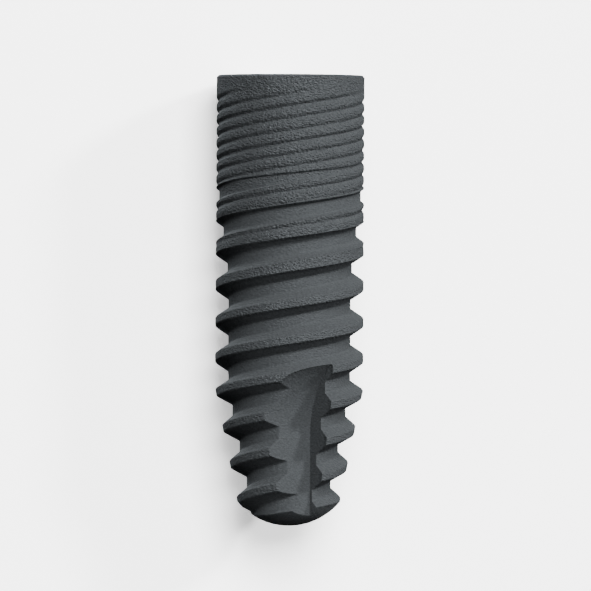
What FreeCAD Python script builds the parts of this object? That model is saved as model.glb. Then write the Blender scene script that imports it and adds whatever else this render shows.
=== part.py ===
import FreeCAD, Part
import math
import os

# A tapered screw implant for a tooth root, turned from one bar of titanium.
# It is drawn upright, with the flat platform in the plane z = 0 and the apex below it, and at the end it is
# laid on its side, as it would lie on a table. All lengths are in millimetres, and a depth is measured from
# the platform towards the apex.
# One helical lead carries the whole outside: two main grooves, and between them the fine grooves of the
# neck, three to each turn of the main thread. Each fine groove that lies where a main groove comes grows
# into it, and the others are squeezed out as the main grooves open.

# Body
body_diameter = 4.30
total_length = 13.05
platform_chamfer = 0.06
taper_length = 3.935
taper_angle = math.radians(11.5)
dome_height = 0.70

# Main thread, right-handed
thread_starts = 2
thread_pitch = 1.044
thread_depth = 0.3825
groove_floor_width = 0.333
flank_angle = math.radians(32.5)
groove_start = 2.64
run_in_angle = math.radians(6.8)
thread_clocking = math.radians(152.4)

# Fine grooves of the neck
fine_grooves_per_pitch = 3
fine_width = 0.21
fine_depth = 0.068
fine_floor_width = 0.04
fine_offset = 0.052
fine_start = 0.42
fine_run_in = 0.25
fine_end = 5.3
fine_run_out = 1.2
squeeze_gap = 0.010

# Cutting flutes at the apex
flute_count = 3
flute_wall_angle = math.radians(36.0)
flute_floor_distance = 1.05
flute_length = 2.70
flute_run_out_radius = 2.40

# Internal connection: a bevel, a hexagon and the blind hole of the screw
hex_across_flats = 2.42
hex_depth = 1.90
bevel_width = 0.28
hex_clearance = 0.02
screw_bore_diameter = 1.60
screw_bore_depth = 6.20
bore_chamfer = 0.12
drill_point_angle = math.radians(118.0)

# Turn about its axis in which the implant comes to rest on its side
resting_turn = math.radians(-18.0)

# Fineness of the helical curves: the steps from one start to the next, which are also one face's
steps_per_face = 9

body_radius = body_diameter / 2
lead = thread_starts * thread_pitch
taper_start = total_length - taper_length
fine_pitch = thread_pitch / fine_grooves_per_pitch
first_centre = -1.3 * thread_pitch
beyond = 1.0
turn_step = 2 * math.pi / thread_starts / steps_per_face


def share(value):
    """The value, kept between 0 and 1"""
    return max(0.0, min(1.0, value))


def crest_radius(depth):
    """Radius of the outside: a cylinder, then the cone towards the apex"""
    return body_radius - math.tan(taper_angle) * max(0.0, depth - taper_start)


def main_depth(centre):
    """How deep the main groove is where its centre line lies at this depth below the platform"""
    return min(thread_depth, max(0.0, math.tan(run_in_angle) * (centre - groove_start)))


def fine_fade(centre):
    """From 0 at the upper end of a fine groove to 1 once it has run in"""
    return share((centre - fine_start) / fine_run_in)


def groove_corners(centre):
    """Four corners of a main groove, or of the fine groove that grows into it, as (offset along the axis
    from its centre line, radius)"""
    opening = main_depth(centre)
    grown = share(opening / fine_depth)
    depth = max(opening, fine_depth * fine_fade(centre))
    main_half = groove_floor_width / 2 + opening * math.tan(flank_angle)
    half = fine_width / 2 + (main_half - fine_width / 2) * grown
    floor = (fine_floor_width + (groove_floor_width - fine_floor_width) * grown) / 2
    shift = fine_offset * (1 - grown)
    bottom = crest_radius(centre) - depth
    return [
        (shift - half, crest_radius(centre + shift - half)),
        (shift - floor, bottom),
        (shift + floor, bottom),
        (shift + half, crest_radius(centre + shift + half)),
    ]


def land_corners(centre):
    """Three corners of each fine groove on the land that follows a main groove. They keep their places
    until the main grooves press them together."""
    near = groove_corners(centre)[-1][0]
    far = thread_pitch + groove_corners(centre + thread_pitch)[0][0]
    natural = []
    for number in range(1, fine_grooves_per_pitch):
        middle = number * fine_pitch + fine_offset
        natural += [middle - fine_width / 2, middle, middle + fine_width / 2]
    places = []
    for index, place in enumerate(natural):
        lowest = near + (index + 1) * squeeze_gap
        highest = far - (len(natural) - index) * squeeze_gap
        places.append(min(max(place, lowest), highest))
    corners = []
    for upper, middle, lower in zip(places[0::3], places[1::3], places[2::3]):
        fading = share((fine_end - centre - middle) / fine_run_out)
        depth = fine_depth * (lower - upper) / fine_width * fine_fade(centre + middle) * fading
        corners.append((upper, crest_radius(centre + upper)))
        corners.append((middle, crest_radius(centre + middle) - depth))
        corners.append((lower, crest_radius(centre + lower)))
    return corners


def point(start, centre, offset, radius):
    """A point of the skin, on the helix of one start"""
    angle = thread_clocking - centre / lead * 2 * math.pi + start * 2 * math.pi / thread_starts
    return FreeCAD.Vector(radius * math.sin(angle), -radius * math.cos(angle), -centre - offset)


def centre_at(step):
    """Depth of the groove's centre line after so many steps of the turn"""
    return first_centre + lead * step * turn_step / (2 * math.pi)


def faces_to(depth):
    """Steps of the fewest whole faces that bring the centre line down to this depth"""
    return math.ceil((depth - first_centre) / thread_pitch) * steps_per_face


def rail(start, corner, first, last):
    """Curve that one corner follows round the body. The corner is a function that gives its offset and
    radius from the depth of the centre line."""
    steps = range(first, last + 1)
    places = [point(start, centre_at(step), *corner(centre_at(step))) for step in steps]
    curve = Part.BSplineCurve()
    curve.interpolate(Points=places, Parameters=[float(step) for step in steps])
    return curve


def stretch(curve, first, last):
    """Part of a rail between two steps"""
    part = curve.copy()
    part.segment(float(first), float(last))
    return part


def ribbon(upper_poles, lower_poles, curve):
    """Faces of the helical strip between two rails. Its rulings are straight and lie in planes through the
    axis."""
    surface = Part.BSplineSurface()
    surface.buildFromPolesMultsKnots(
        [upper_poles, lower_poles],
        [2, 2],
        curve.getMultiplicities(),
        [0.0, 1.0],
        curve.getKnots(),
        False,
        False,
        1,
        curve.Degree,
    )
    faces = []
    first = curve.FirstParameter
    while first < curve.LastParameter:
        last = first + steps_per_face
        piece = surface.copy()
        piece.segment(0.0, 1.0, first, last)
        faces.append(piece.toShape())
        first = last
    return faces


def strip(upper, lower):
    """Faces between two rails"""
    return ribbon(upper.getPoles(), lower.getPoles(), upper)


def fan(curve, tip):
    """Faces from a rail to one point on the axis, which close the skin beyond the platform and the apex"""
    return ribbon([tip] * curve.NbPoles, curve.getPoles(), curve)


def threaded_bar():
    """Solid with the thread on its whole length, longer than the implant at both ends"""
    last = faces_to(total_length + beyond)
    switch = faces_to(fine_end)
    top_tip = FreeCAD.Vector(0, 0, beyond - 2 * first_centre)
    end_tip = FreeCAD.Vector(0, 0, -total_length - 5 * beyond)
    leading = [
        rail(start, lambda centre: groove_corners(centre)[0], 0, last + steps_per_face)
        for start in range(thread_starts)
    ]
    faces = []
    for start in range(thread_starts):
        groove = [stretch(leading[start], 0, last)] + [
            rail(start, lambda centre, number=number: groove_corners(centre)[number], 0, last)
            for number in (1, 2, 3)
        ]
        next_start = (start + 1) % thread_starts
        following = stretch(leading[next_start], steps_per_face, last + steps_per_face)
        fine = [
            rail(start, lambda centre, number=number: land_corners(centre)[number], 0, switch)
            for number in range(3 * (fine_grooves_per_pitch - 1))
        ]
        far_side = stretch(following, steps_per_face, steps_per_face + switch)
        neck_land = [stretch(groove[-1], 0, switch)] + fine + [far_side]
        plain_land = [
            stretch(groove[-1], switch, last),
            stretch(following, steps_per_face + switch, steps_per_face + last),
        ]
        for rails in (groove, neck_land, plain_land):
            for upper, lower in zip(rails, rails[1:]):
                faces += strip(upper, lower)
        faces += fan(stretch(leading[start], 0, steps_per_face), top_tip)
        faces += fan(stretch(following, last, last + steps_per_face), end_tip)
        for step, tip in ((0, top_tip), (last, end_tip)):
            centre = centre_at(step)
            far_offset, far_radius = groove_corners(centre + thread_pitch)[0]
            corners = groove_corners(centre)
            if step == 0:
                corners += land_corners(centre)
            corners.append((thread_pitch + far_offset, far_radius))
            outline = [point(start, centre, *corner) for corner in corners]
            faces.append(Part.Face(Part.makePolygon([tip] + outline + [tip])))
    shell = Part.makeShell(faces)
    shell.sewShape()
    solid = Part.makeSolid(shell)
    if solid.Volume < 0:
        solid.reverse()
    return solid


def turned(profile_edges):
    """Solid of revolution about the axis from the edges of a closed outline in the plane y = 0"""
    return Part.Face(Part.Wire(profile_edges)).revolve(
        FreeCAD.Vector(0, 0, 0), FreeCAD.Vector(0, 0, 1), 360
    )


def outline_point(radius, depth):
    return FreeCAD.Vector(radius, 0, -depth)


def lines(places):
    """Straight edges from each place to the next"""
    return [Part.LineSegment(a, b).toShape() for a, b in zip(places, places[1:])]


def envelope():
    """What the ends are turned to: the chamfered platform and the domed apex. In between it stands clear
    of the thread."""
    outside = body_radius + beyond
    dome_depth = total_length - dome_height
    rim = crest_radius(dome_depth)
    dome_radius = (rim**2 + dome_height**2) / (2 * dome_height)
    tip = outline_point(0, total_length)
    half_way = math.asin(rim / dome_radius) / 2
    over_dome = outline_point(
        dome_radius * math.sin(half_way),
        total_length - dome_radius * (1 - math.cos(half_way)),
    )
    edges = lines(
        [
            outline_point(0, 0),
            outline_point(body_radius - platform_chamfer, 0),
            outline_point(outside, platform_chamfer + beyond),
            outline_point(outside, dome_depth - (outside - rim) * math.tan(taper_angle)),
            outline_point(rim, dome_depth),
        ]
    )
    edges.append(Part.Arc(outline_point(rim, dome_depth), over_dome, tip).toShape())
    edges += lines([tip, outline_point(0, 0)])
    return turned(edges)


def flute(number):
    """Material that one cutting flute takes away: square in section, with a wall in a plane through the
    axis, a floor square to it, and an arc that lifts the floor out of the body towards the platform"""
    angle = flute_wall_angle + number * 2 * math.pi / flute_count
    outward = FreeCAD.Vector(math.sin(angle), -math.cos(angle), 0)
    across = FreeCAD.Vector(-math.cos(angle), -math.sin(angle), 0)

    def place(distance, depth):
        return outward * distance - FreeCAD.Vector(0, 0, depth)

    near = flute_floor_distance
    far = near + flute_run_out_radius
    lift = total_length - flute_length
    lift_end = lift - flute_run_out_radius
    below = total_length + beyond
    half_way = math.pi / 4
    middle = place(
        near + flute_run_out_radius * (1 - math.cos(half_way)),
        lift - flute_run_out_radius * math.sin(half_way),
    )
    edges = lines([place(near, below), place(near, lift)])
    edges.append(Part.Arc(place(near, lift), middle, place(far, lift_end)).toShape())
    edges += lines([place(far, lift_end), place(far, below), place(near, below)])
    return Part.Face(Part.Wire(edges)).extrude(across * body_diameter)


def socket():
    """Material that the internal connection takes away"""
    corner_radius = hex_across_flats / 2 / math.cos(math.pi / 6)
    bevel_foot = corner_radius + hex_clearance
    bevel_top = bevel_foot + bevel_width
    bore_radius = screw_bore_diameter / 2
    tip_depth = screw_bore_depth + bore_radius / math.tan(drill_point_angle / 2)
    turned_part = turned(
        lines(
            [
                outline_point(0, -beyond),
                outline_point(bevel_top + beyond, -beyond),
                outline_point(bevel_foot, bevel_width),
                outline_point(bore_radius, bevel_width),
                outline_point(bore_radius, screw_bore_depth),
                outline_point(0, tip_depth),
                outline_point(0, -beyond),
            ]
        )
    )
    lead_in = turned(
        lines(
            [
                outline_point(0, hex_depth),
                outline_point(bore_radius + bore_chamfer, hex_depth),
                outline_point(bore_radius, hex_depth + bore_chamfer),
                outline_point(0, hex_depth + bore_chamfer),
                outline_point(0, hex_depth),
            ]
        )
    )
    corners = [
        FreeCAD.Vector(corner_radius * math.cos(k * math.pi / 3), corner_radius * math.sin(k * math.pi / 3), 0)
        for k in range(7)
    ]
    hexagon = Part.Face(Part.makePolygon(corners)).extrude(FreeCAD.Vector(0, 0, -hex_depth))
    return turned_part.fuse([hexagon, lead_in])


def implant():
    """The whole implant, upright"""
    body = threaded_bar().common(envelope())
    for number in range(flute_count):
        body = body.cut(flute(number))
    return body.cut(socket())


def laid_down(shape):
    """Turned a quarter turn about X, so that the platform faces +Y and the side that was in front looks up,
    rolled to where it rests, and lifted onto the plane z = 0, with the origin under the middle of its length"""
    shape.rotate(FreeCAD.Vector(0, 0, 0), FreeCAD.Vector(1, 0, 0), -90)
    shape.rotate(FreeCAD.Vector(0, 0, 0), FreeCAD.Vector(0, 1, 0), math.degrees(resting_turn))
    shape.translate(FreeCAD.Vector(0, total_length / 2, body_radius))
    return shape


os.makedirs("parts", exist_ok=True)
solid = laid_down(implant())
print("valid", solid.isValid(), "solids", len(solid.Solids), "faces", len(solid.Faces), "volume", solid.Volume)
solid.Solids[0].exportStep("parts/implant_body.step")
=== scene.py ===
# %% [markdown]
# # A screw implant for a tooth root
#
# The CAD model already has the exact body: the collar, the fine grooves of the neck, the two-start thread, the
# cutting flutes, the dome and the socket. What it can't have is the surface. Titanium that has been blasted with
# grit and etched with acid is matt and pebbled, its edges are slightly worn round, and the inside, which is
# protected from the grit, keeps the bright marks of the cutting tool.
#
# The CAD solid could be shown with a bumpy material, but its triangles are too coarse for close views and its edges
# are knife-sharp. So the skin is built again here from the same laws, on a grid fine enough to carry the grain as
# real relief. It is worked out in millimetres, in the upright position in which the implant is turned, and laid down
# once its shape is done.

import bpy
import numpy as np
from mathutils import Matrix, Vector


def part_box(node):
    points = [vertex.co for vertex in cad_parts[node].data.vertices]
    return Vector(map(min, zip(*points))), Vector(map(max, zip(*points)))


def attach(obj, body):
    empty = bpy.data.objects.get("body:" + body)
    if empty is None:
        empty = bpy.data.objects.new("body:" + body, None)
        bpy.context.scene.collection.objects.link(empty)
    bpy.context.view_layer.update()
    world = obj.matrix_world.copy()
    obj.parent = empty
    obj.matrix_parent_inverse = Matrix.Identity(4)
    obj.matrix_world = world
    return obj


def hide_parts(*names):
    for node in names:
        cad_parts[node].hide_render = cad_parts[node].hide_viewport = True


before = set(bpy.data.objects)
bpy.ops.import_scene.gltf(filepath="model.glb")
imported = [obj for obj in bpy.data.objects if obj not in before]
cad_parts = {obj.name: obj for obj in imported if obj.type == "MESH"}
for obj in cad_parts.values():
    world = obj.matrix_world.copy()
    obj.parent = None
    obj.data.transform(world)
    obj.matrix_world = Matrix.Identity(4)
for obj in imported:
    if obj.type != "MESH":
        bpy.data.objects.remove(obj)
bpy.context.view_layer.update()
node_low, node_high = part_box("implant_body")

MM = 0.001
total_length = round((node_high.y - node_low.y) / MM, 2)
body_radius = round((node_high.z - node_low.z) / MM, 2) / 2
print(f"the body is {total_length} mm long and {2 * body_radius} mm in diameter")

# %% [markdown]
# ## The laws of the outside
#
# One helical lead carries the whole outside. Two main grooves wind down it, and on the neck every third fine groove
# is the beginning of a main one. A point of the skin is named by its band, which is one main groove and the land
# after it, by its place across that band, and by the angle round the body. The sizes repeat those of the CAD
# source, because the relief has to lie exactly where its helices are.

# %% Sizes of the body and the thread
platform_chamfer = 0.06
taper_start = total_length - 3.935
taper_angle = np.radians(11.5)
dome_height = 0.70

thread_starts = 2
thread_pitch = 1.044
lead = thread_starts * thread_pitch
thread_depth = 0.3825
groove_floor_width = 0.333
flank_angle = np.radians(32.5)
groove_start = 2.64
run_in_angle = np.radians(6.8)
thread_clocking = 152.4

print(f"{thread_starts} starts on a lead of {lead:.3f} mm")

# %% Sizes of the fine grooves
fine_grooves_per_pitch = 3
fine_pitch = thread_pitch / fine_grooves_per_pitch
fine_width = 0.21
fine_depth = 0.068
fine_floor_width = 0.04
fine_offset = 0.052
fine_start = 0.42
fine_run_in = 0.25
fine_end = 5.3
fine_run_out = 1.2
squeeze_gap = 0.010
print(f"a fine groove every {fine_pitch:.3f} mm, {fine_depth} mm deep")

# %% Sizes of the flutes and the way it lies
flute_count = 3
flute_wall_angle = 36.0
flute_floor_distance = 1.05
flute_length = 2.70
flute_run_out_radius = 2.40

resting_turn = np.radians(-18.0)
print(f"{flute_count} flutes, each {flute_length} mm long before its run-out")


# %% Corners of a main groove
def crest_radius(depth):
    """The cylinder's radius, less the taper's tangent times the depth below the taper's start."""
    return body_radius - np.tan(taper_angle) * np.maximum(0.0, depth - taper_start)


def main_depth(centre):
    """A ramp of the run-in angle from the depth where the groove starts, held at the full thread depth."""
    return np.clip(np.tan(run_in_angle) * (centre - groove_start), 0.0, thread_depth)


def fine_fade(centre):
    """0 at the upper end of a fine groove, rising straight to 1 over its run-in."""
    return np.clip((centre - fine_start) / fine_run_in, 0.0, 1.0)


def groove_corners(centre):
    """Offsets along the axis and radii of a main groove's four corners: edge, floor, floor, edge. Each blends
    from the fine groove's shape to the main groove's as the groove opens."""
    opening = main_depth(centre)
    grown = np.clip(opening / fine_depth, 0.0, 1.0)
    depth = np.maximum(opening, fine_depth * fine_fade(centre))
    main_half = groove_floor_width / 2 + opening * np.tan(flank_angle)
    half = fine_width / 2 + (main_half - fine_width / 2) * grown
    floor = (fine_floor_width + (groove_floor_width - fine_floor_width) * grown) / 2
    shift = fine_offset * (1 - grown)
    bottom = crest_radius(centre) - depth
    offsets = [shift - half, shift - floor, shift + floor, shift + half]
    radii = [crest_radius(centre + offsets[0]), bottom, bottom, crest_radius(centre + offsets[3])]
    return offsets, radii


crest_width = thread_pitch - groove_floor_width - 2 * thread_depth * np.tan(flank_angle)
print(f"the crest between two open grooves is {crest_width:.2f} mm wide")


# %% Corners of the fine grooves on a land
def land_corners(centre):
    """Offsets and radii of the fine grooves on the land after a main groove, three corners each. A corner keeps
    its place until the opening grooves press it against its neighbours."""
    near = groove_corners(centre)[0][-1]
    far = thread_pitch + groove_corners(centre + thread_pitch)[0][0]
    count = 3 * (fine_grooves_per_pitch - 1)
    places = []
    for index in range(count):
        middle = (index // 3 + 1) * fine_pitch + fine_offset
        place = middle + (index % 3 - 1) * fine_width / 2
        lowest = near + (index + 1) * squeeze_gap
        highest = far - (count - index) * squeeze_gap
        places.append(np.minimum(np.maximum(place, lowest), highest))
    radii = []
    for upper, middle, lower in zip(places[0::3], places[1::3], places[2::3]):
        fading = np.clip((fine_end - centre - middle) / fine_run_out, 0.0, 1.0)
        depth = fine_depth * (lower - upper) / fine_width * fine_fade(centre + middle) * fading
        radii += [
            crest_radius(centre + upper),
            crest_radius(centre + middle) - depth,
            crest_radius(centre + lower),
        ]
    return places, radii


print(f"{len(land_corners(np.array(0.0))[0])} corners on the land after each main groove")

# %% [markdown]
# ## A grid that follows the helices
#
# If the rows of a grid ran straight round the body, every helical edge would cut across them and come out ragged.
# Here the rows run along the helices instead, so each edge of the thread is a row of its own. After one full turn
# a row has moved down by the two bands of one lead, and the grid is joined to itself with that shift. Rows that
# would stick out beyond the platform or the dome are pulled to the end ring, where they shrink to nothing.

# %% Rows and columns
column_step = 1.0
rows_per_band = 56
neck_rows = [7, 5, 7, 4, 6, 6, 5, 6, 6, 4]
thread_rows = [16, 13, 16, 11]
first_band = -2
last_band = 12
first_thread_band = 5
tip_cap_height = 0.10
cap_depth = total_length - tip_cap_height

turn = np.arange(-180.0, 180.0, column_step)
bands = np.arange(first_band, last_band + 1)
centre = bands[None, :] * thread_pitch + lead * (thread_clocking - turn[:, None]) / 360
print(f"{len(bands)} bands, with centres from {centre.min():.2f} to {centre.max():.2f} mm of depth")


# %% Rows between the corners
def along(corners, counts):
    """Points on the lines between neighbouring corners, evenly spaced, so many on each line. The last corner
    itself is left to the next band."""
    parts = []
    for upper, lower, count in zip(corners, corners[1:], counts):
        share = np.arange(count) / count
        parts.append(upper[..., None] * (1 - share) + lower[..., None] * share)
    return np.concatenate(parts, axis=-1)


def band_rows(centre, with_fine_grooves):
    """Depth and radius of every row of the bands with these centre depths."""
    offsets, radii = groove_corners(centre)
    counts = thread_rows
    if with_fine_grooves:
        more_offsets, more_radii = land_corners(centre)
        offsets, radii, counts = offsets + more_offsets, radii + more_radii, neck_rows
    next_offsets, next_radii = groove_corners(centre + thread_pitch)
    offsets = offsets + [thread_pitch + next_offsets[0]]
    radii = radii + [next_radii[0]]
    return centre[..., None] + along(offsets, counts), along(radii, counts)


neck_bands = bands < first_thread_band
neck = band_rows(centre[:, neck_bands], True)
thread = band_rows(centre[:, ~neck_bands], False)
depth = np.concatenate([neck[0], thread[0]], axis=1).reshape(len(turn), -1)
radius = np.concatenate([neck[1], thread[1]], axis=1).reshape(len(turn), -1)
print(f"the grid has {depth.shape[0]} columns and {depth.shape[1]} rows")


# %% Wear the edges round
def rounded(rows, passes):
    """Each row moved to a quarter, a half and a quarter of itself and its two neighbours, several times over,
    which wears the edges round."""
    for _ in range(passes):
        inner = (rows[:, :-2] + 2 * rows[:, 1:-1] + rows[:, 2:]) / 4
        rows = np.concatenate([rows[:, :1], inner, rows[:, -1:]], axis=1)
    return rows


sharp_radius = radius
depth, radius = rounded(depth, 1), rounded(radius, 1)
print(f"wearing the edges moves a row by up to {np.abs(radius - sharp_radius).max() * 1000:.0f} micrometres")

# %% [markdown]
# ## The dome
#
# The apex is turned to a dome after the thread is cut, so that it doesn't tear what it is pushed against. A boolean
# cut with a sphere would do it too, but on this grid it only takes a comparison: wherever the thread stands out of
# the dome's sphere, the sphere takes over.

# %% Turn the dome
rim = crest_radius(total_length - dome_height)
dome_radius = (rim**2 + dome_height**2) / (2 * dome_height)
dome_centre = total_length - dome_radius


def dome(depth):
    """The sphere's half width at that depth: the square root of its radius squared less the distance below its
    centre squared. Above its centre it stays at its widest."""
    below = np.maximum(depth - dome_centre, 0.0)
    return np.sqrt(np.maximum(dome_radius**2 - below**2, 0.0))


depth = np.clip(depth, platform_chamfer, cap_depth)
in_dome = depth > total_length - dome_height
radius = np.where(in_dome, np.minimum(radius, dome(depth)), radius)
radius = np.where(depth <= platform_chamfer, body_radius, radius)
print(f"the dome belongs to a sphere of {2 * dome_radius:.2f} mm in diameter")

# %% [markdown]
# ## The cutting flutes
#
# Three flutes are milled through the thread at the apex, so that it cuts its own way into the bone. Each has a wall
# in a plane through the axis and a flat floor square to it. A boolean cut would leave long thin triangles that the
# grain can't bend, so the grid itself is fitted to the flutes. The wall is a step in the radius, so the column there
# is given twice, once in the flute and once outside it, with a few more between them down the wall. The floor's far
# edge crosses the grid at a slant, so the grid points nearest to it are moved onto it, and it comes out as crisp
# as a milled edge should.

# %% Give the wall columns their extra copies
wall_steps = 6
wall_angles = flute_wall_angle + 360 / flute_count * np.arange(-1, 2)
wall_columns = np.round((wall_angles + 180) / column_step).astype(int)
copies = np.ones(len(turn), int)
copies[wall_columns] += wall_steps + 1
order = np.repeat(np.arange(len(turn)), copies)
place_in_copies = np.arange(len(order)) - np.repeat(np.cumsum(copies) - copies, copies)
at_wall = np.isin(order, wall_columns)
wall_share = np.where(at_wall, place_in_copies / (wall_steps + 1), 1.0)
angle = np.repeat(turn[order][:, None], depth.shape[1], axis=1)
depth, radius = depth[order], radius[order]
print(f"{at_wall.sum()} columns stand at the {flute_count} walls")


# %% The floors of the flutes
floor_reach = 80.0
out_of_reach = 9.0


def flute_floor(angle, depth):
    """Distance from the axis to the nearest flute's floor, along a line square to the axis at that angle. The
    floor is flat over the flute's length and then lifts in an arc. Beyond the flute it is out of reach."""
    to_wall = (flute_wall_angle - angle) % (360 / flute_count)
    rise = np.clip(total_length - flute_length - depth, 0.0, flute_run_out_radius)
    lift = flute_run_out_radius - np.sqrt(flute_run_out_radius**2 - rise**2)
    flat = (flute_floor_distance + lift) / np.cos(np.radians(np.minimum(to_wall, floor_reach)))
    return np.where((to_wall > floor_reach) | (rise >= flute_run_out_radius), out_of_reach, flat)


print(f"a floor is {flute_floor(flute_wall_angle - 30, total_length):.2f} mm from the axis, 30 degrees off its wall")


# %% Find the edge of each floor
def moved_to_zero(height, sources, may_turn):
    """The sources with each point moved to where the height passes through zero on the way to a neighbour, if
    that is less than half way. Only the columns that may turn are moved round the body. Also which points moved."""
    best = np.full(height.shape, 0.5)
    moved = [source.copy() for source in sources]
    for axis, step in ((0, 1), (0, -1), (1, 1), (1, -1)):
        beside = np.roll(height, -step, axis)
        crosses = height * beside < 0
        share = np.where(crosses, height / np.where(crosses, height - beside, 1.0), 1.0)
        near = (share < best) & (may_turn[:, None] if axis == 0 else True)
        best = np.where(near, share, best)
        for value, source in zip(moved, sources):
            value[near] = (source + (np.roll(source, -step, axis) - source) * share)[near]
    return moved, best < 0.5


height = radius - flute_floor(angle, depth)
(angle, depth, radius), on_edge = moved_to_zero(height, [angle, depth, radius], ~at_wall)
print(f"{on_edge.sum()} points lie on the edges of the flute floors")

# %% Mill the flutes
floor = flute_floor(angle, depth)
in_flute = (radius > floor + 1e-4) & (wall_share[:, None] < 1)
milled = np.minimum(radius, floor)
share = np.where(at_wall, wall_share, 0.0)[:, None]
radius = milled * (1 - share) + radius * share
print(f"the flutes take away {in_flute.sum()} points")

# %% [markdown]
# ## From the grid to a closed skin
#
# Blender could merge the doubled points of a finished mesh, but here the triangles still have to be made, so the
# skin is closed in the arrays first. It is laid down on its side, where it comes to rest, and points that have come
# to lie on each other become one: the rows pulled to an end ring, and the copies of a wall column above and below
# the wall. A square of the grid that has lost a corner becomes a triangle, and one that has lost its width is left
# out. A few rings close the skin at the tip, and a few more make the chamfer up to the platform.

# %% Lay the skin down
def laid_down(angle, depth, radius):
    """Points in metres: round the axis by the angle and the resting turn, along it from the middle of the length
    by the depth, and lifted by the body's radius."""
    around = np.radians(angle) + resting_turn
    along_axis = total_length / 2 - depth + 0 * around
    return np.stack([radius * np.sin(around), along_axis, body_radius + radius * np.cos(around)], axis=-1) * MM


cap_steps = 10
chamfer_steps = 3
cap_radius = dome(np.array(cap_depth)) * np.linspace(1, 0, cap_steps + 1)
cap_rings = dome_centre + np.sqrt(dome_radius**2 - cap_radius**2)
chamfer_rings = np.linspace(0.0, platform_chamfer, chamfer_steps + 1)
grids = [
    (angle, depth, radius),
    (turn[:, None], chamfer_rings, body_radius - platform_chamfer + chamfer_rings),
    (turn[:, None], cap_rings, cap_radius),
]
print("rings at the ends:", len(chamfer_rings) + len(cap_rings))


# %% Weld the points
same_place = 2e-8


def welded(grids):
    """The points of all grids in one list without doubles, and for each grid its points' numbers in the list."""
    laid = [laid_down(*grid) for grid in grids]
    every = np.concatenate([points.reshape(-1, 3) for points in laid])
    places = np.round(every / same_place).astype(int)
    _, first, number = np.unique(places, axis=0, return_index=True, return_inverse=True)
    parts = np.split(number.ravel(), np.cumsum([points[..., 0].size for points in laid])[:-1])
    return every[first], [part.reshape(points.shape[:-1]) for part, points in zip(parts, laid)]


points, (skin, chamfer, cap) = welded(grids)
print(f"{len(points)} points after welding")


# %% Make the triangles
def triangles(left, right, other=False):
    """Two triangles for each square between neighbouring columns of numbers, facing outward. A square is divided
    from its upper left to its lower right, or where told from its lower left to its upper right."""
    a, d, b, c = left[:, :-1], left[:, 1:], right[:, :-1], right[:, 1:]
    other = np.broadcast_to(other, a.shape)[..., None]
    first = np.where(other, np.stack([a, d, b], -1), np.stack([a, d, c], -1))
    second = np.where(other, np.stack([d, c, b], -1), np.stack([a, c, b], -1))
    faces = np.stack([first, second], axis=2).reshape(-1, 3)
    a, b, c = faces.T
    return faces[(a != b) & (b != c) & (c != a)]


def next_column(grid, shift):
    """For each column the one after it. After the last comes the first, moved down by so many rows."""
    joined = np.concatenate([np.full(shift, grid[0, 0]), grid[0, : len(grid[0]) - shift]])
    return np.concatenate([grid[1:], joined[None]])


seam_shift = thread_starts * rows_per_band
beside = next_column(skin, seam_shift)
other = on_edge[:, 1:] & next_column(on_edge, seam_shift)[:, :-1]
print(f"{other.sum()} squares are divided the other way, along a flute's edge")

# %% Divide the skin into pieces
first_bands_of_pieces = np.array([4, 8])
splits = [0, *((first_bands_of_pieces - first_band) * rows_per_band), skin.shape[1] - 1]
skins = []
for start, end in zip(splits, splits[1:]):
    skins.append(triangles(skin[:, start : end + 1], beside[:, start : end + 1], other[:, start:end]))
skins[0] = np.concatenate([triangles(chamfer, next_column(chamfer, 0)), skins[0]])
skins[-1] = np.concatenate([skins[-1], triangles(cap, next_column(cap, 0))])
print("triangles on the neck, the thread and the apex:", [len(faces) for faces in skins])

# %% [markdown]
# ## Grit and acid
#
# The body is blasted with coarse grit and then etched, which leaves a pebbled surface with hollows of about a tenth
# of a millimetre, a little longer round the body than along it. Grit bites deepest where the metal stands proud, so
# the collar, the lands and the crests are coarse, and the groove floors and the narrow crests of the apex are finer.
# A Displace modifier with a noise texture could do it. The relief here is a sum of many plane waves in random
# directions instead, because that has no grid and no seam and can be held to the metal's side: it never adds to the
# implant's size.

# %% Measure how proud each point stands
all_faces = np.concatenate(skins)
proud_range = 0.10
coarse_to, fine_from, fine_share = 3.5, 8.0, 0.35
axis_distance = np.hypot(points[:, 0] / MM, points[:, 2] / MM - body_radius)
point_depth = total_length / 2 - points[:, 1] / MM
proud = np.clip(1 - (crest_radius(point_depth) - axis_distance) / proud_range, 0.0, 1.0)
proud *= np.interp(point_depth, [coarse_to, fine_from], [1.0, fine_share])
print(f"{(proud > 0.5).mean():.0%} of the points stand proud")


# %% The direction of each point's surface
def normals(points, faces):
    """Each point's normal: the sum of its triangles' normals, weighted by their areas, then made unit length."""
    corners = points[faces]
    face_normals = np.cross(corners[:, 1] - corners[:, 0], corners[:, 2] - corners[:, 0])
    total = [np.bincount(faces.ravel(), np.repeat(face_normals[:, i], 3), len(points)) for i in range(3)]
    total = np.stack(total, axis=-1)
    length = np.linalg.norm(total, axis=-1, keepdims=True)
    return total / np.where(length > 0, length, 1)


inward = -normals(points, all_faces)
print(f"{(np.linalg.norm(inward, axis=1) > 0.5).mean():.0%} of the points have a direction")


# %% Blast it
grit_depth = 0.006
grit_relief = 0.0011
hollow_size = 0.13
hollow_shape = np.array([1.0, 1.6, 1.0])
floor_share = 0.1


def pebbles(points, size, waves, seed):
    """Cosines of plane waves in random directions, with wavelengths about the given size in millimetres and
    random phases, added up and divided by their spread. Mostly between -2 and 2."""
    random = np.random.default_rng(seed)
    direction = random.normal(size=(waves, 3))
    direction /= np.linalg.norm(direction, axis=1, keepdims=True)
    direction *= 2 * np.pi / (size * MM * random.uniform(0.75, 1.35, (waves, 1)))
    field = np.zeros(len(points))
    for wave, phase in zip(direction, random.uniform(0, 2 * np.pi, waves)):
        field += np.cos(points @ wave + phase)
    return field / np.sqrt(waves / 2)


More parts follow.
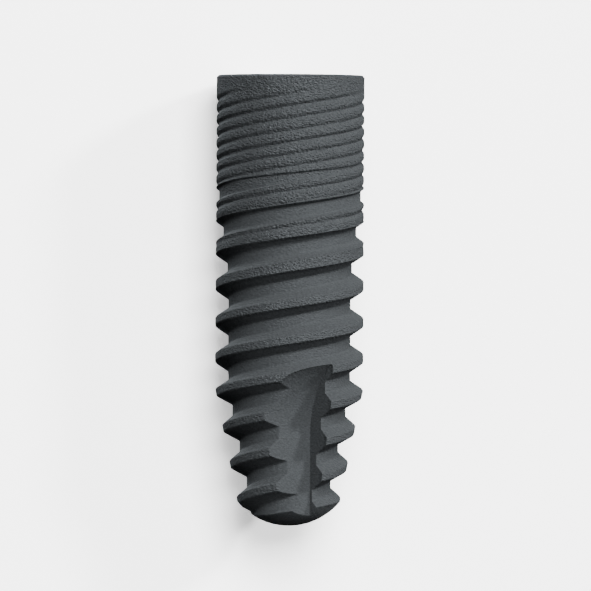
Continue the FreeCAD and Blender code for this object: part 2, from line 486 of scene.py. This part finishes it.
relief = grit_relief * pebbles(points * hollow_shape, hollow_size, waves=60, seed=1)
bite = np.maximum((floor_share + (1 - floor_share) * proud) * (grit_depth - relief), 0.0)
points += inward * bite[:, None] * MM
print(f"the grit bites up to {bite.max() * 1000:.0f} micrometres deep")

# %% [markdown]
# ## The connection
#
# The platform, the hexagon and the screw hole are machined and kept clear of the grit, because the abutment sits
# on them. The hole takes an M2 screw, and its thread is only cut here, since the CAD model has the plain core hole
# in its place. A Screw modifier would wind a thread, but it ends in open edges. So the whole inside is one skin, a
# profile carried round the axis from the point of the drill up to the platform's outer edge, in which the thread
# fades out at both ends.

# %% Sizes of the connection
hex_across_flats = 2.42
hex_depth = 1.90
bevel_width = 0.28
hex_clearance = 0.02
bore_radius = 0.80
bore_depth = 6.20
bore_chamfer = 0.12
drill_point_angle = np.radians(118.0)
screw_pitch = 0.40
screw_thread_depth = 0.20
screw_thread_top = hex_depth + bore_chamfer + 0.10
screw_thread_bottom = bore_depth - 0.50
screw_rows = 12
screw_fade = 0.25
screw_profile_places = [0.0, 0.42, 0.56, 1.0]
socket_turn = np.arange(-180.0, 180.0, 3.0)
print(f"the screw thread runs from {screw_thread_top:.2f} to {screw_thread_bottom:.2f} mm below the platform")


# %% Lines of the profile
def line(start, end, count):
    """Depth and radius on the line between two points, with so many steps and without the last point. A radius is
    one number or one value for each column."""
    share = np.arange(count) / count
    begin, finish = (np.broadcast_to(radius, len(socket_turn))[:, None] for _, radius in (start, end))
    depths = start[0] + (end[0] - start[0]) * share
    return np.broadcast_to(depths, (len(socket_turn), count)), begin + (finish - begin) * share


# %% Trace the connection
hexagon = hex_across_flats / 2 / np.cos(np.radians((socket_turn + 30) % 60 - 30))
ledge = hex_across_flats / 2 / np.cos(np.radians(30)) + hex_clearance
point = bore_depth + bore_radius / np.tan(drill_point_angle / 2)
below = [line((point, 0.0), (bore_depth, bore_radius), 6)]
below.append(line((bore_depth, bore_radius), (screw_thread_bottom, bore_radius), 2))
corners = [
    (screw_thread_top, bore_radius),
    (hex_depth + bore_chamfer, bore_radius),
    (hex_depth, bore_radius + bore_chamfer),
    (hex_depth, hexagon),
    (bevel_width, hexagon),
    (bevel_width, ledge),
    (0.0, ledge + bevel_width),
    (0.0, body_radius - platform_chamfer),
]
above = [line(*pair, count) for *pair, count in zip(corners, corners[1:], [2, 3, 3, 12, 3, 6, 8])]
above.append(line(corners[-1], corners[-1], 1))
print(f"the drill's point is {point:.2f} mm below the platform")

# %% Cut the screw thread
turns = (socket_turn[:, None] + 180) / 360
row = np.arange(int((screw_thread_bottom - screw_thread_top) / screw_pitch + 3) * screw_rows)
wound = screw_thread_bottom + screw_pitch * (1 + turns - row / screw_rows)
cut = np.interp(row % screw_rows / screw_rows, screw_profile_places, [0.0, 1.0, 1.0, 0.0])
fade = np.clip(np.minimum(screw_thread_bottom - wound, wound - screw_thread_top) / screw_fade, 0.0, 1.0)
wound = np.clip(wound, screw_thread_top, screw_thread_bottom)
parts = [below, [(wound, bore_radius + screw_thread_depth * cut * fade)], above]
socket_grids = [[np.concatenate(rows, axis=1) for rows in zip(*part)] for part in parts]
socket_points, (lower, threaded, upper) = welded([(socket_turn[:, None], *grid) for grid in socket_grids])
print(f"{len(socket_points)} points in the connection")

# %% Close the connection
lower = np.concatenate([lower, threaded[:, :1]], axis=1)
upper = np.concatenate([threaded[:, -1:], upper], axis=1)
socket_faces = [triangles(grid, next_column(grid, 0)) for grid in (lower, upper)]
socket_faces.append(triangles(threaded, next_column(threaded, screw_rows)))
socket_faces = np.concatenate(socket_faces)
print(f"{len(socket_faces)} triangles in the connection")

# %% [markdown]
# ## Surfaces
#
# Both surfaces are the same bare titanium. A plain metal with one roughness would look like plastic here. On the
# outside the grit has left a skin that scatters light widely, so it is very rough and dark, and hollows that are too
# fine for the mesh, so they are bump. These hollows too are longer round the body. The colour carries painted light:
# it is painted lighter on the raised grain and on a still finer speckle, as painted glints where the etched facets
# would catch the light, and painted darker in the hollows, as painted shade. On the inside there are the fine rings
# of the turning tool, which run round the axis. Each pattern is a node group that gives out values, and the metal
# itself stays in the material.

# %% Nodes that both surfaces use
def new_group(name, inputs, outputs):
    """An empty node group with the named value and vector sockets."""
    group = bpy.data.node_groups.new(name, "ShaderNodeTree")
    for direction, sockets in (("INPUT", inputs), ("OUTPUT", outputs)):
        for socket, kind in sockets.items():
            group.interface.new_socket(socket, in_out=direction, socket_type=f"NodeSocket{kind}")
    return group, group.nodes.new("NodeGroupInput"), group.nodes.new("NodeGroupOutput")


def maths(tree, operation, *values):
    """The output of a math node, with each value a number or the socket that it comes from."""
    node = tree.nodes.new("ShaderNodeMath")
    node.operation = operation
    for socket, value in zip(node.inputs, values):
        if isinstance(value, (int, float)):
            socket.default_value = value
        else:
            tree.links.new(value, socket)
    return node.outputs[0]


def noise(tree, vector, scale, detail):
    """The value of a noise texture over that vector."""
    node = tree.nodes.new("ShaderNodeTexNoise")
    node.inputs["Scale"].default_value = scale
    node.inputs["Detail"].default_value = detail
    tree.links.new(vector, node.inputs["Vector"])
    return node.outputs["Fac"]


# %% Blasted grain
grain_shape = (1, 1.7, 1)
pit_scale = 13000
sparkle_scale = 24000
grain_values = {"Height": "Float", "Painted Glint and Shade": "Float", "Roughness": "Float"}
grain, given, result = new_group("grit_grain", {"Vector": "Vector", "Proud": "Float"}, grain_values)
stretched = grain.nodes.new("ShaderNodeVectorMath")
stretched.operation = "MULTIPLY"
stretched.inputs[1].default_value = grain_shape
grain.links.new(given.outputs["Vector"], stretched.inputs[0])
pits = noise(grain, stretched.outputs[0], pit_scale, detail=1)
sparkle = noise(grain, stretched.outputs[0], sparkle_scale, detail=1)
print(f"pits about {1e6 / pit_scale:.0f} and speckles about {1e6 / sparkle_scale:.0f} micrometres wide")

# %% What the grain gives out
weight = maths(grain, "MULTIPLY_ADD", given.outputs["Proud"], 0.82, 0.18)
height = maths(grain, "MULTIPLY", maths(grain, "MULTIPLY_ADD", sparkle, 0.35, pits), weight)
grain.links.new(height, result.inputs["Height"])
# Painted light: the colour is lighter where the pits and the speckle stand high, as painted glints, and darker in
# the hollows of the pits, as painted shade.
painted_glint_and_shade = maths(grain, "ADD", maths(grain, "MULTIPLY", pits, 0.5), maths(grain, "MULTIPLY", sparkle, 0.5))
grain.links.new(painted_glint_and_shade, result.inputs["Painted Glint and Shade"])
grain.links.new(maths(grain, "MULTIPLY_ADD", given.outputs["Proud"], -0.12, 0.9), result.inputs["Roughness"])
print("group", grain.name)

# %% Turned rings
ring_scale = 30000
rings, given, result = new_group("turned_rings", {"Vector": "Vector"}, {"Height": "Float"})
apart = rings.nodes.new("ShaderNodeSeparateXYZ")
rings.links.new(given.outputs["Vector"], apart.inputs[0])
up = maths(rings, "SUBTRACT", apart.outputs["Z"], body_radius * MM)
across = maths(rings, "MULTIPLY", apart.outputs["X"], apart.outputs["X"])
squares = maths(rings, "ADD", across, maths(rings, "MULTIPLY", up, up))
distance = maths(rings, "ADD", maths(rings, "SQRT", squares), apart.outputs["Y"])
joined = rings.nodes.new("ShaderNodeCombineXYZ")
rings.links.new(distance, joined.inputs["X"])
rings.links.new(noise(rings, joined.outputs[0], ring_scale, detail=2), result.inputs["Height"])
print("group", rings.name)


# %% A bare metal
def new_metal(name, group, bump_distance):
    """A metal whose pattern reads Object coordinates and whose bump is the pattern's height. It comes with its
    shader and with the node that holds the pattern."""
    material = bpy.data.materials.new(name)
    material.use_nodes = True
    tree = material.node_tree
    surface = tree.nodes["Principled BSDF"]
    surface.inputs["Metallic"].default_value = 1
    surface.inputs["Specular Tint"].default_value = (0.4, 0.4, 0.4, 1)
    place = tree.nodes.new("ShaderNodeTexCoord")
    effect = tree.nodes.new("ShaderNodeGroup")
    effect.node_tree = group
    tree.links.new(place.outputs["Object"], effect.inputs["Vector"])
    bump = tree.nodes.new("ShaderNodeBump")
    bump.inputs["Distance"].default_value = bump_distance
    tree.links.new(effect.outputs["Height"], bump.inputs["Height"])
    tree.links.new(bump.outputs["Normal"], surface.inputs["Normal"])
    return material, surface, effect


# %% Blasted titanium
blasted, surface, effect = new_metal("blasted_titanium", grain, bump_distance=0.00014)
tree = blasted.node_tree
attribute = tree.nodes.new("ShaderNodeAttribute")
attribute.attribute_name = "proud"
tree.links.new(attribute.outputs["Fac"], effect.inputs["Proud"])
tree.links.new(effect.outputs["Roughness"], surface.inputs["Roughness"])
# The base colour runs from the painted shade of the hollows to the painted glints of the raised grain.
mix = tree.nodes.new("ShaderNodeMix")
mix.data_type = "RGBA"
mix.inputs["A"].default_value = (0.024, 0.026, 0.0275, 1)
mix.inputs["B"].default_value = (0.075, 0.081, 0.0855, 1)
tree.links.new(effect.outputs["Painted Glint and Shade"], mix.inputs["Factor"])
tree.links.new(mix.outputs["Result"], surface.inputs["Base Color"])
print("material", blasted.name)

# %% Machined titanium
machined, surface, effect = new_metal("machined_titanium", rings, bump_distance=0.000002)
surface.inputs["Base Color"].default_value = (0.52, 0.53, 0.55, 1)
surface.inputs["Roughness"].default_value = 0.3
print("material", machined.name)

# %% [markdown]
# ## The pieces
#
# The outside is one skin in three pieces, the neck, the thread and the apex, which meet along a groove's upper edge,
# so that none of them grows too heavy for a mesh file. The fourth piece is the connection. All four take the place
# of the implant's one solid. Edges that turn sharply are marked, so that the smooth shading stops at them.

# %% Make the pieces
def new_piece(name, points, faces, material, sharp_degrees):
    """A mesh of these triangles with only the points it uses, riding the body in place of the CAD solid. It comes
    with the numbers of those points."""
    used, corner = np.unique(faces, return_inverse=True)
    corner = corner.ravel()
    mesh = bpy.data.meshes.new(name)
    mesh.vertices.add(len(used))
    mesh.vertices.foreach_set("co", points[used].ravel())
    mesh.loops.add(len(corner))
    mesh.loops.foreach_set("vertex_index", corner)
    mesh.polygons.add(len(faces))
    mesh.polygons.foreach_set("loop_start", np.arange(0, len(corner), 3))
    mesh.update(calc_edges=True)
    mesh.shade_smooth()
    mesh.set_sharp_from_angle(angle=np.radians(sharp_degrees))
    mesh.materials.append(material)
    piece = bpy.data.objects.new(name, mesh)
    bpy.context.collection.objects.link(piece)
    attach(piece, "root")
    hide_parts("implant_body")
    print(f"{name}: {len(faces)} triangles")
    return piece, used


# %% Put them together
for name, faces in zip(("implant_neck", "implant_thread", "implant_apex"), skins):
    piece, used = new_piece(name, points, faces, blasted, 60)
    piece.data.attributes.new("proud", "FLOAT", "POINT").data.foreach_set("value", proud[used])
new_piece("implant_connection", socket_points, socket_faces, machined, 35)

# %% [markdown]
# ## Floor, light and camera
#
# The implant lies on a pale table in soft studio light. Light from all round would be the simplest, but it makes
# the thread look flat. So a wide lamp beside the camera, raised towards the platform, lights what faces the viewer,
# and a small one on the right leaves the walls and flanks on its far side dark. A weak lamp on the apex's side keeps
# the flanks that face it from going black, and a bright spot in the surroundings, behind the left edge, draws that
# edge. The floor is kept out of the light that reaches the metal, because it would brighten the lower sides.

# %% Set the floor
floor_mesh = bpy.data.meshes.new("floor")
reach = 0.6
floor_corners = [(-reach, -reach, 0), (reach, -reach, 0), (reach, reach, 0), (-reach, reach, 0)]
floor_mesh.from_pydata(floor_corners, [], [(0, 1, 2, 3)])
floor_object = bpy.data.objects.new("floor", floor_mesh)
bpy.context.collection.objects.link(floor_object)
floor_object.visible_diffuse = False
floor_object.visible_glossy = False
floor_object.visible_shadow = False
print(f"the floor is {2 * reach} m wide")

# %% Give it its paper
paper = bpy.data.materials.new("paper")
paper.use_nodes = True
sheet = paper.node_tree.nodes["Principled BSDF"]
sheet.inputs["Base Color"].default_value = (0.9, 0.9, 0.9, 1)
sheet.inputs["Roughness"].default_value = 0.9
sheet.inputs["Emission Color"].default_value = (1, 1, 1, 1)
sheet.inputs["Emission Strength"].default_value = 0.6
floor_mesh.materials.append(paper)
print("material", paper.name)

# %% Directions in the picture
middle = Vector((0.0, 0.0, body_radius * MM))
toward_camera = Vector((np.sin(resting_turn), 0.0, np.cos(resting_turn)))
picture_right = Vector((np.cos(resting_turn), 0.0, -np.sin(resting_turn)))
picture_up = Vector((0.0, 1.0, 0.0))


def in_picture(azimuth, elevation):
    """A direction, turned by degrees from the camera towards the right of the picture and then raised towards its
    top."""
    azimuth, elevation = np.radians(azimuth), np.radians(elevation)
    level = toward_camera * np.cos(azimuth) + picture_right * np.sin(azimuth)
    return level * np.cos(elevation) + picture_up * np.sin(elevation)


print("the camera looks from", [round(value, 3) for value in toward_camera])


# %% Set the lamps
def new_light(name, azimuth, elevation, distance, size, energy):
    """A square area light in that direction, facing the implant."""
    data = bpy.data.lights.new(name, "AREA")
    data.size = size
    data.energy = energy
    light = bpy.data.objects.new(name, data)
    bpy.context.collection.objects.link(light)
    direction = in_picture(azimuth, elevation)
    light.location = middle + direction * distance
    light.rotation_euler = direction.to_track_quat("Z", "Y").to_euler()
    print(f"{name}: {energy} W")


new_light("key", azimuth=72, elevation=27, distance=0.30, size=0.04, energy=1.7)
new_light("front", azimuth=14, elevation=26, distance=0.35, size=0.20, energy=6.4)
new_light("low", azimuth=45, elevation=-50, distance=0.30, size=0.15, energy=0.20)

# %% Set the surroundings
spot_azimuth, spot_elevation = -145, 25
spot_tightness = 20.0
spot_strength = 35.0
room_strength = 0.08
world = bpy.data.worlds.new("studio")
world.use_nodes = True
background = world.node_tree.nodes["Background"]
background.inputs["Color"].default_value = (1, 1, 1, 1)
place = world.node_tree.nodes.new("ShaderNodeTexCoord")
facing = world.node_tree.nodes.new("ShaderNodeVectorMath")
facing.operation = "DOT_PRODUCT"
facing.inputs[1].default_value = in_picture(spot_azimuth, spot_elevation)
world.node_tree.links.new(place.outputs["Generated"], facing.inputs[0])
behind = maths(world.node_tree, "MAXIMUM", facing.outputs["Value"], 0.0)
spot = maths(world.node_tree, "POWER", behind, spot_tightness)
strength = maths(world.node_tree, "MULTIPLY_ADD", spot, spot_strength, room_strength)
world.node_tree.links.new(strength, background.inputs["Strength"])
bpy.context.scene.world = world
print(f"the spot is {spot_strength / room_strength:.0f} times as bright as the room")

# %% Set the camera
photo_width = 0.017124
camera_distance = 0.38
aim_right, aim_up = 0.000173, 0.000148
camera_elevation = -0.3
picture_roll = np.radians(0.30)
camera_data = bpy.data.cameras.new("camera")
camera_data.sensor_width = 36
camera_data.lens = 36 * camera_distance / photo_width
camera = bpy.data.objects.new("camera", camera_data)
bpy.context.collection.objects.link(camera)
aim = middle + picture_right * aim_right + picture_up * aim_up
direction = in_picture(0, camera_elevation)
upright = Matrix.Rotation(picture_roll, 4, direction) @ picture_up
side = upright.cross(direction).normalized()
camera.matrix_world = Matrix.Translation(aim + direction * camera_distance) @ Matrix(
    [side, direction.cross(side), direction]
).transposed().to_4x4()
bpy.context.scene.camera = camera
print("lens", round(camera_data.lens))

# %% [markdown]
# ## Sizes
#
# The box of the CAD pieces and the box of what is seen should be the same but for the depth of the blasting.

# %% Finish
bpy.context.view_layer.update()
